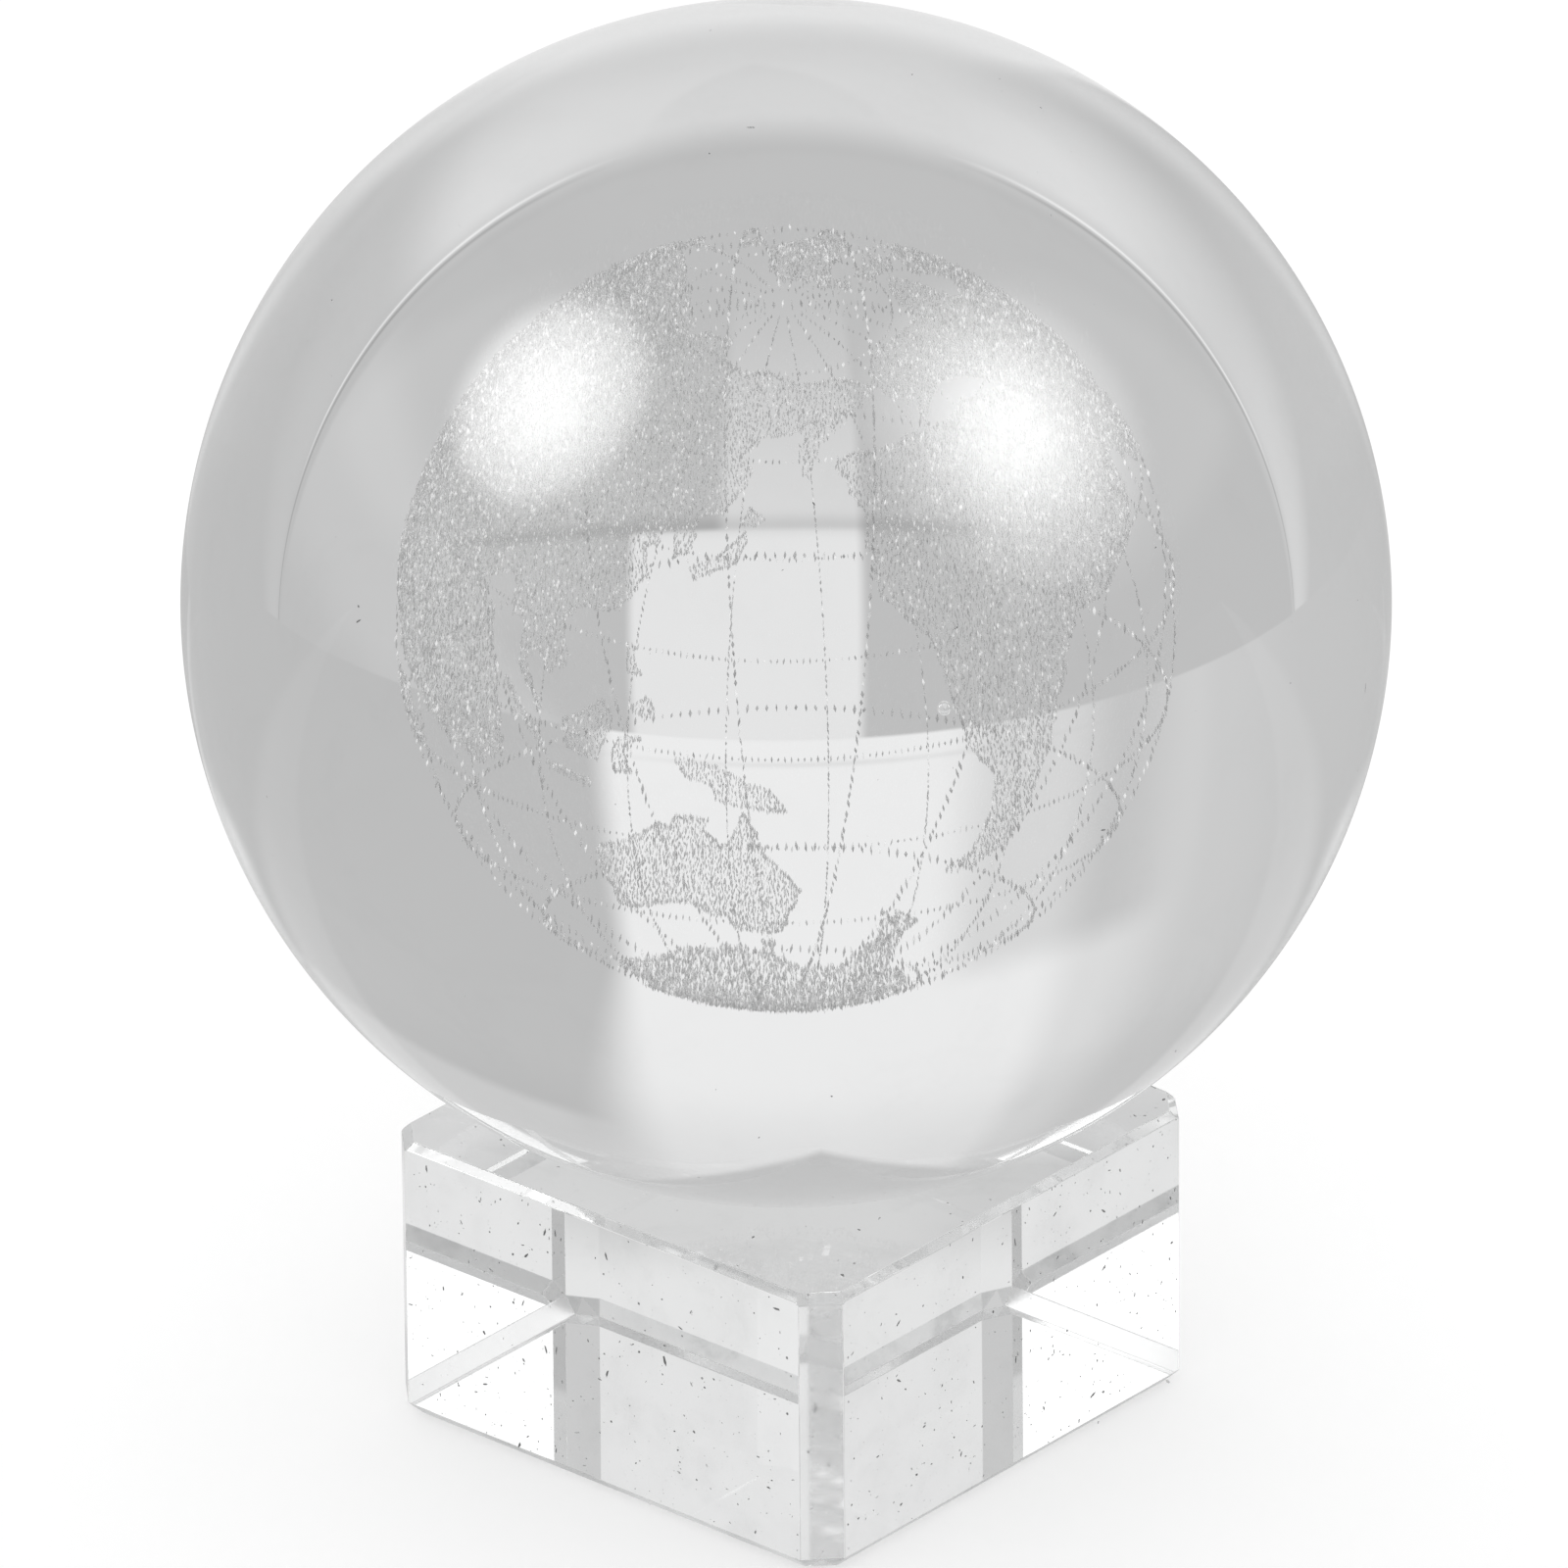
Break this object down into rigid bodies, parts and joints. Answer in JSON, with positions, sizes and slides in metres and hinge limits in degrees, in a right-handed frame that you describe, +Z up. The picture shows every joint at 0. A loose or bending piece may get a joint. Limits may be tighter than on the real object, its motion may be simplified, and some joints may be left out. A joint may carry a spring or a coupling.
{
  "type": "crystal ball",
  "caption": "Clear crystal ball with a laser-engraved globe inside, resting in the dished top of a square clear crystal block.",
  "frame": {"origin": "middle of the block's underside, on the surface that it stands on", "axes": "+Z up through the middle of the block and of the ball; +X and +Y square to the block's sides"},
  "size_m": [0.08, 0.08, 0.0989],
  "materials": {
    "ball_crystal": "polished",
    "block_crystal": "polished",
    "engraved_line": "frosted",
    "engraved_land": "frosted"
  },
  "bodies": {
    "stand": {"stand_block": "block_crystal"},
    "ball": {"crystal_ball": "ball_crystal", "engraved_meridians": "engraved_line", "engraved_parallels": "engraved_line", "engraved_asia": "engraved_land", "engraved_europe": "engraved_land", "engraved_africa": "engraved_land", "engraved_australia": "engraved_land", "engraved_north_america": "engraved_land", "engraved_south_america": "engraved_land", "engraved_greenland": "engraved_land", "engraved_antarctica": "engraved_land", "engraved_asian_islands": "engraved_land", "engraved_ocean_islands": "engraved_land"}
  },
  "joints": [
    {"name": "ball_lift", "type": "slide", "parent": "stand", "child": "ball", "axis": [0, 0, 1], "range_m": [0, 0.06]}
  ]
}
